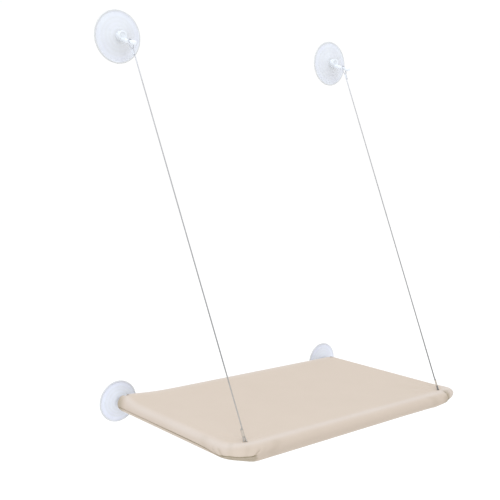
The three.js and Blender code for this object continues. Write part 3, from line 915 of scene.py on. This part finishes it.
def corner_lift(index, angle):
    """How far the cloth is drawn up under the right front corner."""
    past = CORNER_DISTANCES[1][index] / 30
    return CORNER_LIFT * hump(past) * window(angle, -88, 30, -5, 40)


def highlight_share(index, angle):
    """How much painted highlight the cloth gets along the crest where it is stretched over a tube.
    """
    y = AXIS_OUTLINE[index].y
    beside = window(y, FRONT_Y, 0.03, REAR_Y, 0.03)
    return hump((angle - 80 + 36 * beside) / (24 + 10 * beside))


def front_slack(x, y):
    """How far the spare cloth hangs down under the front edge, most near its left end."""
    along = smooth_step((x + 0.262) / 0.035) * min(max((0.13 - x) / 0.35, 0), 1)
    return FRONT_SLACK * along * hump((y - FRONT_Y) / 0.055)


def side_share(index):
    """1 along the left and right edges, where the side seams run, and 0 at the front and rear."""
    place = AXIS_OUTLINE[index]
    if place.x < 0:
        beside = smooth_step((-place.x - 0.2225) / 0.005)
    else:
        beside = smooth_step((CORNER_DISTANCES[1][index] + 3) / 12)
    return beside * smooth_step((REAR_Y - place.y + 0.004) / 0.006)


def panel_sag(x, y):
    """How much of its sag the cloth has at a place between the tubes, from 0 to 1."""
    middle = (REAR_Y + FRONT_Y) / 2
    half_depth = (REAR_Y - FRONT_Y) / 2
    u = min(abs(x) / SIDE_TUBE_X, 1)
    v = min(abs(y - middle) / half_depth, 1)
    return (1 - u**4) * (1 - v**2.4)


def panel_waves(x, y):
    """Shallow waves of the stretched cloth, strongest where the cables pull at the corners."""
    waves = 0.00025 * math.sin(31 * x + 9 * y) * math.sin(23 * y - 7 * x)
    waves += rear_fullness(x, y)
    for side in (-1, 1):
        away = Vector((x - side * 0.243, y + 0.345))
        reach = away.length
        turn = math.atan2(away.y, -side * away.x)
        pull = hump(reach / 0.075) * smooth_step((reach - 0.006) / 0.02)
        waves += 0.0008 * pull * math.cos(9 * turn + side * 0.7)
    return waves


def rear_fullness(x, y):
    """How far the spare cloth stands up over the socket in the left rear corner."""
    along = (x + SIDE_TUBE_X + 0.004) / 0.052
    inward = (y - REAR_Y + 0.006) / 0.030
    return REAR_FULLNESS * hump(along) * hump(inward)


def roll_angles():
    steps = {90 - 7.5 * step for step in range(25)}
    clear = {angle for angle in steps if abs(angle - SEAM_ANGLE) > 11}
    beside_seam = {SEAM_ANGLE + away for away in (-9, -5, -2.5, 0, 2.5, 5, 9)}
    return sorted(clear | beside_seam, reverse=True)


def shaded_share(index, place, angle, seam):
    """How much painted shade the cloth gets by the front corners, at the rear edge and on the
    underside.
    """
    tucked = window(angle, -88, 10, seam - 3, 5)
    under_corner = window(CORNER_DISTANCES[-1][index], -42, 10, 30, 4)
    at_rear = smooth_step((place.y + 0.046) / 0.020) * math.cos(math.radians(angle))
    at_roll_end = window(EAR_FOLD_X - place.x, 0, 0.002, 0.022, 0.016)
    at_roll_end *= window(angle, -75, 30, 45, 30) * smooth_step((-0.335 - place.y) / 0.01)
    below = UNDERSIDE_SHADE * smooth_step((5 - angle) / 60)
    return 0.4 * tucked * under_corner + 0.45 * at_rear + 0.3 * at_roll_end + below


def cover_ring(bm, roll_angle, shade, wear):
    """One ring of the cloth round the frame, at an angle of the rolled edge."""
    spread = 90 - SEAM_ANGLE if roll_angle > SEAM_ANGLE else 90 + SEAM_ANGLE
    kept = 1 - abs(roll_angle - SEAM_ANGLE) / spread
    near_seam = hump((roll_angle - SEAM_ANGLE) / 3.2)
    pillow = hump((abs(roll_angle - SEAM_ANGLE) - 9) / 5)
    verts = []
    for index in range(len(STATIONS)):
        seam = seam_angle(index)
        angle = roll_angle + (seam - SEAM_ANGLE) * kept
        turn = math.radians(angle)
        outward = ROLL_RADIUS * math.cos(turn)
        natural = BEND_RADIUS + outward
        radii = [corner_radius(side, natural, angle, seam) for side in (-1, 1)]
        place = outline_place(index, outward, *radii)
        beyond = outline_place(index, outward + MM, *(radius + MM for radius in radii))
        seamed = side_share(index)
        lift = pleat_height(index, angle) - ear_fold(index, place.x, angle)
        # Painted shade in the valleys of the folds
        folds = max(0.0, -lift / MM) * 0.25
        lift += (0.0003 * pillow - SEAM_SINK * near_seam) * seamed
        place += (beyond - place).normalized() * lift * math.cos(turn)
        height = (ROLL_RADIUS + lift) * math.sin(turn)
        if roll_angle < 90:
            height += rear_fullness(place.x, place.y) * smooth_step((angle + 15) / 60)
        ear = ear_share(index, place.x, angle)
        height += EAR_HEIGHT * ear + corner_lift(index, angle)
        height -= front_slack(place.x, place.y) * smooth_step((-5 - angle) / 70)
        vert = bm.verts.new((place.x, place.y, height))
        # Painted highlight along the crests of the rolls and on the ear at the right front corner
        vert[wear] = min(1, highlight_share(index, angle) + 0.7 * ear)
        # Seam lines, partly the real dark seam and partly painted shade, plus painted shade in
        # folds, corners and underneath
        forward = smooth_step((-0.10 - place.y) / 0.12)
        in_seam = near_seam * seamed * (0.4 + 0.6 * forward)
        vert[shade] = min(1, in_seam + folds + shaded_share(index, place, angle, seam))
        verts.append(vert)
    return verts


def pattern_place(x, y, below):
    """The place of the cloth's weave, so that the top's and the underside's don't overlap."""
    return (x, y - UNDERSIDE_PATTERN if below else y)


def cloth_place(index, angle, below):
    """The place of a ring's point on the flat cloth, before it was bent round the tubes."""
    bent = ROLL_RADIUS * math.radians(90 + angle if below else 90 - angle)
    corner = BEND_RADIUS + bent
    place = outline_place(index, bent, corner, corner)
    return pattern_place(place.x, place.y, below)


def filled_panel(bm, ring, loop):
    """Fills a ring of the cloth with a grid and returns the points inside the ring."""
    spans = loop[RIGHT_REAR:LEFT_REAR] + loop[LEFT_FRONT:RIGHT_FRONT]
    faces = bmesh.ops.grid_fill(bm, edges=spans, use_smooth=True)["faces"]
    return {vert for face in faces for vert in face.verts} - set(ring)


def cover_shape():
    """The whole cloth with its painted shade, its painted highlight and the weave's places, and the
    layer of the painted shade.
    """
    bm = bmesh.new()
    shade = bm.verts.layers.float.new("shade")
    wear = bm.verts.layers.float.new("wear")
    angles = roll_angles()
    rings = [cover_ring(bm, angle, shade, wear) for angle in angles]
    loops = [[bm.edges.new(pair) for pair in zip(ring, ring[1:] + ring[:1])] for ring in rings]
    for upper, lower in zip(loops, loops[1:]):
        bmesh.ops.bridge_loops(bm, edges=upper + lower)
    above = {}
    below = {}
    for angle, ring in zip(angles, rings):
        for index, vert in enumerate(ring):
            if angle >= SEAM_ANGLE:
                above[vert] = cloth_place(index, angle, False)
            if angle <= SEAM_ANGLE:
                below[vert] = cloth_place(index, angle, True)
    for vert in filled_panel(bm, rings[0], loops[0]):
        x, y = vert.co.x, vert.co.y
        above[vert] = pattern_place(x, y, False)
        vert.co.z = ROLL_RADIUS - TOP_SAG * panel_sag(x, y) + panel_waves(x, y)
        # Painted highlight along the front and rear edges of the top
        vert[wear] = 0.84 * hump(min(y - FRONT_Y, REAR_Y - y) / 0.007)
    for vert in rings[0]:
        vert.co.z += panel_waves(vert.co.x, vert.co.y)
    for vert in filled_panel(bm, rings[-1], loops[-1]):
        x, y = vert.co.x, vert.co.y
        below[vert] = pattern_place(x, y, True)
        vert.co.z = -ROLL_RADIUS - BOTTOM_SAG * panel_sag(x, y) - front_slack(x, y)
        # Painted shade on the underside
        vert[shade] = UNDERSIDE_SHADE
    bmesh.ops.recalc_face_normals(bm, faces=bm.faces)
    weave = bm.loops.layers.uv.new("cloth")
    for face in bm.faces:
        places = above if all(vert in above for vert in face.verts) else below
        for loop in face.loops:
            loop[weave].uv = places[loop.vert]
    return bm, shade


def inside_box(point, half, margin=0.0):
    return all(abs(value) < limit + margin for value, limit in zip(point, half))


def cut_opening(bm, place, size, border=0.0):
    """Cuts an opening where a box lies, with a line round it at the width of a border."""
    inverse = place.inverted()
    axes = place.to_3x3()
    opening = Vector(size) / 2
    for grown in (border, 0.0) if border else (0.0,):
        half = opening + Vector((grown, grown, grown))
        for axis in range(3):
            for end in (-1, 1):
                near = [
                    face
                    for face in bm.faces
                    if inside_box(inverse @ face.calc_center_median(), half, 0.008)
                ]
                edges = list({edge for face in near for edge in face.edges})
                verts = list({vert for face in near for vert in face.verts})
                middle = Vector((0, 0, 0))
                middle[axis] = end * half[axis]
                bmesh.ops.bisect_plane(
                    bm,
                    geom=near + edges + verts,
                    dist=1e-6,
                    plane_co=place @ middle,
                    plane_no=axes.col[axis],
                )
    cut = [face for face in bm.faces if inside_box(inverse @ face.calc_center_median(), opening)]
    bmesh.ops.delete(bm, geom=cut, context="FACES")


def turn_in_flap(bm):
    """The rear edge of the closure is folded inside and forward, above the tapes."""
    edges = [
        edge
        for edge in bm.edges
        if edge.is_boundary
        and all(abs(vert.co.y - FLAP_FOLD_Y) < 1e-5 and vert.co.z < 0 for vert in edge.verts)
    ]
    for forward, z in (
        (0.0004, -0.0120), (0.0012, -0.0098), (0.0032, FLAP_Z), (0.0100, FLAP_Z),
        (0.0180, FLAP_Z), (FLAP_LENGTH, FLAP_Z),
    ):
        verts, edges = extruded(bm, edges)
        for vert in verts:
            vert.co.yz = FLAP_FOLD_Y - forward, z


def add_stitch(bm, skin, start, end):
    """One stitch of thread lying on the cloth between two places near it."""
    start, lifted, _, _ = skin.find_nearest(start)
    end, _, _, _ = skin.find_nearest(end)
    span = end - start
    if span.length < 1e-5:
        return
    along = span.normalized()
    across = lifted.cross(along).normalized()
    turn = Matrix((along, across, along.cross(across))).transposed().to_4x4()
    size = Matrix.Diagonal((span.length / 2, THREAD / 2, THREAD / 2, 1))
    place = Matrix.Translation((start + end) / 2 + 0.0001 * lifted) @ turn @ size
    bmesh.ops.create_uvsphere(bm, u_segments=6, v_segments=5, radius=1, matrix=place)


def stitch_closure(skin, material):
    """Two rows along the hem of the closure and a short close row across each of its ends."""
    bm = bmesh.new()
    pitch = HEM_STITCH + HEM_GAP
    for y in HEM_ROWS:
        start, end = (Vector((side * (CLOSURE_HALF - 0.003), y, -0.015)) for _, side in SIDES)
        count = int((end - start).length / pitch)
        for step in range(count):
            last = start.lerp(end, (step + HEM_STITCH / pitch) / count)
            add_stitch(bm, skin, start.lerp(end, step / count), last)
    for _, side in SIDES:
        for step in range(HEM_END_STITCHES):
            y = HEM_Y - 0.001 + HEM_END_SPACING * step
            start = Vector((side * (CLOSURE_HALF + 0.0012), y, -0.014))
            add_stitch(bm, skin, start, start + Vector((side * 0.003, 0, 0)))
    return finish_stitching("closure_stitching", bm, material)


def stitch_slit(skin, side_name, side, material):
    """Close stitches over the edge of a cable's slit."""
    bm = bmesh.new()
    place = place_along(anchor_frame(side), SLIT_ALONG_CABLE)
    for way in (-1, 1):
        for along, across in ((0, 1), (1, 0)):
            for step in range(round(SLIT_SIZE[along] / SLIT_STITCH_SPACING) + 1):
                start = Vector((0, 0, 0))
                start[along] = step * SLIT_STITCH_SPACING - SLIT_SIZE[along] / 2
                start[across] = way * SLIT_SIZE[across] / 2
                end = start.copy()
                end[across] += way * SLIT_STITCH
                add_stitch(bm, skin, place @ start, place @ end)
    return finish_stitching(f"slit_stitching_{side_name}", bm, material)


def finish_stitching(name, bm, material):
    stitching = add_piece(name, bm, material, "perch")
    return stitching


def make_cover(material, thread, dark_thread):
    bm, shade = cover_shape()
    for _, side in SIDES:
        notch = Matrix.Translation((side * SIDE_TUBE_X, NOTCH_Y, NOTCH_Z))
        cut_opening(bm, notch, NOTCH_SIZE)
        slit = place_along(anchor_frame(side), SLIT_ALONG_CABLE)
        cut_opening(bm, slit, SLIT_SIZE, SLIT_BORDER)
        inverse = slit.inverted()
        for vert in bm.verts:
            if inside_box(inverse @ vert.co, Vector(SLIT_SIZE) / 2, 0.00002):
                # Painted shade at the edge of the slit, standing in for its dark hole
                vert[shade] = SLIT_SHADES[side]
    closure = Matrix.Translation((0, (HEM_Y + FLAP_FOLD_Y) / 2, -ROLL_RADIUS))
    cut_opening(bm, closure, (2 * CLOSURE_HALF, FLAP_FOLD_Y - HEM_Y, 0.01))
    skin = BVHTree.FromBMesh(bm)
    stitching = [stitch_closure(skin, thread)]
    stitching += [stitch_slit(skin, name, side, dark_thread) for name, side in SIDES]
    turn_in_flap(bm)
    cover = add_piece("fabric_cover", bm, material)
    thickness = cover.modifiers.new("cloth", "SOLIDIFY")
    thickness.thickness = FABRIC
    thickness.offset = -1
    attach(cover, "perch")
    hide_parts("cover")


def dress(node, material):
    """Gives a piece of the solid model its finish."""
    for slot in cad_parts[node].material_slots:
        slot.material = material


make_camera()
make_studio()

# Two copies of one steel: the left one painted lighter near the cloth, the right one painted darker
cable_steel = {
    "left": drawn_wire("cable_steel_painted_light", (0.47, 0.45, 0.42)),
    "right": drawn_wire("cable_steel_painted_shade", (0.19, 0.19, 0.19)),
}
# Lit and shaded copies of one crimp metal: the lower sleeves' copy is darker and warmer as painted
# shade by the cloth, the upper sleeves' copy is paler and bluer as painted light
crimp_painted_shade = worn_metal("crimp_metal_painted_shade", (0.57, 0.51, 0.44), (0.41, 0.37, 0.32), 0.42, 300, 0.6)
crimp_painted_light = worn_metal(
    "crimp_metal_painted_light", (0.66, 0.68, 0.72), (0.56, 0.58, 0.62), 0.46, 300, 0.5
)
pin_steel = worn_metal("pin_steel", (0.56, 0.57, 0.58), (0.42, 0.43, 0.44), 0.28, 240)
# The lower cups' copy of the vinyl is brighter and bluer: painted light that makes up for the pad's
# shade and brownish bounce on them
cup_vinyl = {
    "upper": milky_vinyl("milky_vinyl", (0.735, 0.75, 0.885), (0.81, 0.855, 0.885)),
    "lower": milky_vinyl("lower_cup_vinyl_painted_light", (0.757, 0.78, 0.965), (0.834, 0.89, 0.965)),
}
hook_plastic = moulded_plastic("clear_plastic", (0.88, 0.91, 0.94), (0.79, 0.83, 0.88), 0.16, 0.75)
corner_plastic = moulded_plastic("corner_plastic", (0.74, 0.75, 0.75), (0.68, 0.69, 0.70), 0.42)
tube_coat = powder_coat("tube_coat", (0.81, 0.81, 0.80), (0.74, 0.74, 0.73))
cover_cloth = woven_fabric("cover_cloth", (0.558, 0.472, 0.394), (0.52, 0.436, 0.36), "UV")
tape_cloth = woven_fabric("tape_cloth", (0.54, 0.46, 0.37), (0.47, 0.39, 0.30))
sewing_thread = woven_fabric("sewing_thread", (0.54, 0.46, 0.37), (0.45, 0.38, 0.29))
buttonhole_thread = woven_fabric("buttonhole_thread", (0.50, 0.41, 0.32), (0.42, 0.33, 0.25))

outline = strand_outline()
for side_name, side in SIDES:
    make_cable(side_name, side, outline, cable_steel[side_name])
    low = place_along(anchor_frame(side), LOWER_SLEEVE_START)
    make_sleeve(f"lower_sleeve_{side_name}", low, crimp_painted_shade, "perch")
    high = place_along(hook_frame(side), UPPER_SLEEVE_START)
    make_sleeve(f"upper_sleeve_{side_name}", high, crimp_painted_light, "glass_side")
bpy.data.objects.remove(outline)
make_cups(cup_vinyl)
make_hooks(hook_plastic)
make_cover(cover_cloth, sewing_thread, buttonhole_thread)
for side_name, _ in SIDES:
    dress(f"front_corner_{side_name}", corner_plastic)
    dress(f"rear_corner_{side_name}", corner_plastic)
    dress(f"anchor_pin_{side_name}", pin_steel)
for tube in ("left_tube", "right_tube", "front_tube", "rear_tube"):
    dress(tube, tube_coat)
for tape in ("closure_hook_tape", "closure_loop_tape"):
    dress(tape, tape_cloth)
